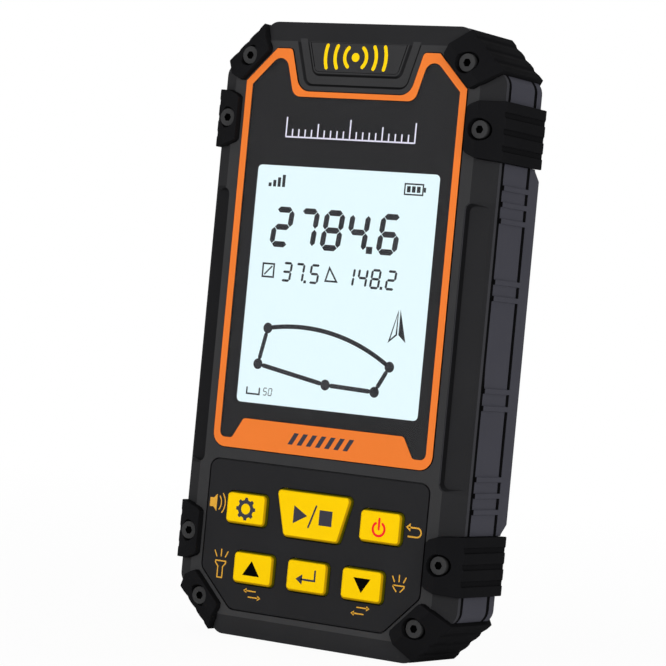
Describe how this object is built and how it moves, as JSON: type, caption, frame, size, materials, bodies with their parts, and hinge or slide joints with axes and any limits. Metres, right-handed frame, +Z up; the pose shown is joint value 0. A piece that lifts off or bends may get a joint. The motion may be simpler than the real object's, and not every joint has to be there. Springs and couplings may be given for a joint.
{
  "type": "gps land area meter",
  "caption": "Rugged handheld satellite land area meter: framed display over a rubber keypad, sealed three-part housing with screwed corner and side guards and a hinged port flap.",
  "frame": {"origin": "middle of the bottom of the bounding box, on the surface the meter stands on", "axes": "+Z up along the long side, +X to the right of someone facing the display, -Y out of the display"},
  "size_m": [0.0712, 0.0252, 0.1322],
  "materials": {
    "case_black": "fine moulded texture, near black",
    "frame_graphite": "smooth graphite moulding",
    "seal_black": "matt black elastomer",
    "guard_black": "matt textured elastomer",
    "bezel_orange": "satin orange moulding",
    "window_clear": "clear hard-coated window",
    "mask_black": "black print",
    "screen": "lit display",
    "holder_plastic": "natural moulding",
    "nameplate_black": "matt inlay with a yellow mark",
    "panel_black": "matt printed panel",
    "key_yellow": "satin yellow keys with printed marks",
    "membrane": "silicone",
    "switch_black": "small switches",
    "board_green": "solder mask",
    "steel": "bright zinc",
    "ceramic": "ceramic patch",
    "battery_wrap": "film wrap",
    "speaker_black": "speaker",
    "lamp_white": "lamp body",
    "lens_clear": "clear lens",
    "screw_black": "black oxide",
    "brass": "turned brass"
  },
  "bodies": {
    "housing": {"front_case": "case_black", "front_seal": "seal_black", "mid_frame": "frame_graphite", "rear_seal": "seal_black", "rear_case": "frame_graphite", "display_bezel": "bezel_orange", "display_window": "window_clear", "window_mask": "mask_black", "lcd_module": "screen", "display_holder": "holder_plastic", "nameplate": "nameplate_black", "keypad_panel": "panel_black", "keypad_membrane": "membrane", "tact_switches": "switch_black", "main_board": "board_green", "board_screws": "steel", "gnss_antenna": "ceramic", "rf_shield": "steel", "battery_pack": "battery_wrap", "speaker": "speaker_black", "torch_led": "lamp_white", "torch_lens": "lens_clear", "usb_socket": "steel", "guard_screws": "screw_black", "threaded_inserts": "brass", "side_guard_lower_right": "guard_black", "side_guard_lower_left": "guard_black", "side_guard_upper_right": "guard_black", "side_guard_upper_left": "guard_black", "corner_guard_lower_right": "guard_black", "corner_guard_lower_left": "guard_black", "corner_guard_upper_right": "guard_black", "corner_guard_upper_left": "guard_black"},
    "settings_key": {"key_settings": "key_yellow"},
    "start_stop_key": {"key_start_stop": "key_yellow"},
    "power_key": {"key_power": "key_yellow"},
    "up_key": {"key_up": "key_yellow"},
    "enter_key": {"key_enter": "key_yellow"},
    "down_key": {"key_down": "key_yellow"},
    "port_flap": {"port_cover": "seal_black"}
  },
  "joints": [
    {"name": "press_settings", "type": "slide", "parent": "housing", "child": "settings_key", "axis": [0, 1, 0], "range_m": [0, 0.0008], "stiffness_N_per_m": 800, "springref_m": -0.0008},
    {"name": "press_start_stop", "type": "slide", "parent": "housing", "child": "start_stop_key", "axis": [0, 1, 0], "range_m": [0, 0.0008], "stiffness_N_per_m": 800, "springref_m": -0.0008},
    {"name": "press_power", "type": "slide", "parent": "housing", "child": "power_key", "axis": [0, 1, 0], "range_m": [0, 0.0008], "stiffness_N_per_m": 800, "springref_m": -0.0008},
    {"name": "press_up", "type": "slide", "parent": "housing", "child": "up_key", "axis": [0, 1, 0], "range_m": [0, 0.0008], "stiffness_N_per_m": 800, "springref_m": -0.0008},
    {"name": "press_enter", "type": "slide", "parent": "housing", "child": "enter_key", "axis": [0, 1, 0], "range_m": [0, 0.0008], "stiffness_N_per_m": 800, "springref_m": -0.0008},
    {"name": "press_down", "type": "slide", "parent": "housing", "child": "down_key", "axis": [0, 1, 0], "range_m": [0, 0.0008], "stiffness_N_per_m": 800, "springref_m": -0.0008},
    {"name": "flap_hinge", "type": "hinge", "parent": "housing", "child": "port_flap", "pos_m": [-0.0347, 0.00147, 0.0673], "axis": [0, 0, -1], "range_deg": [0, 120], "stiffness_Nm_per_rad": 0.0004}
  ]
}
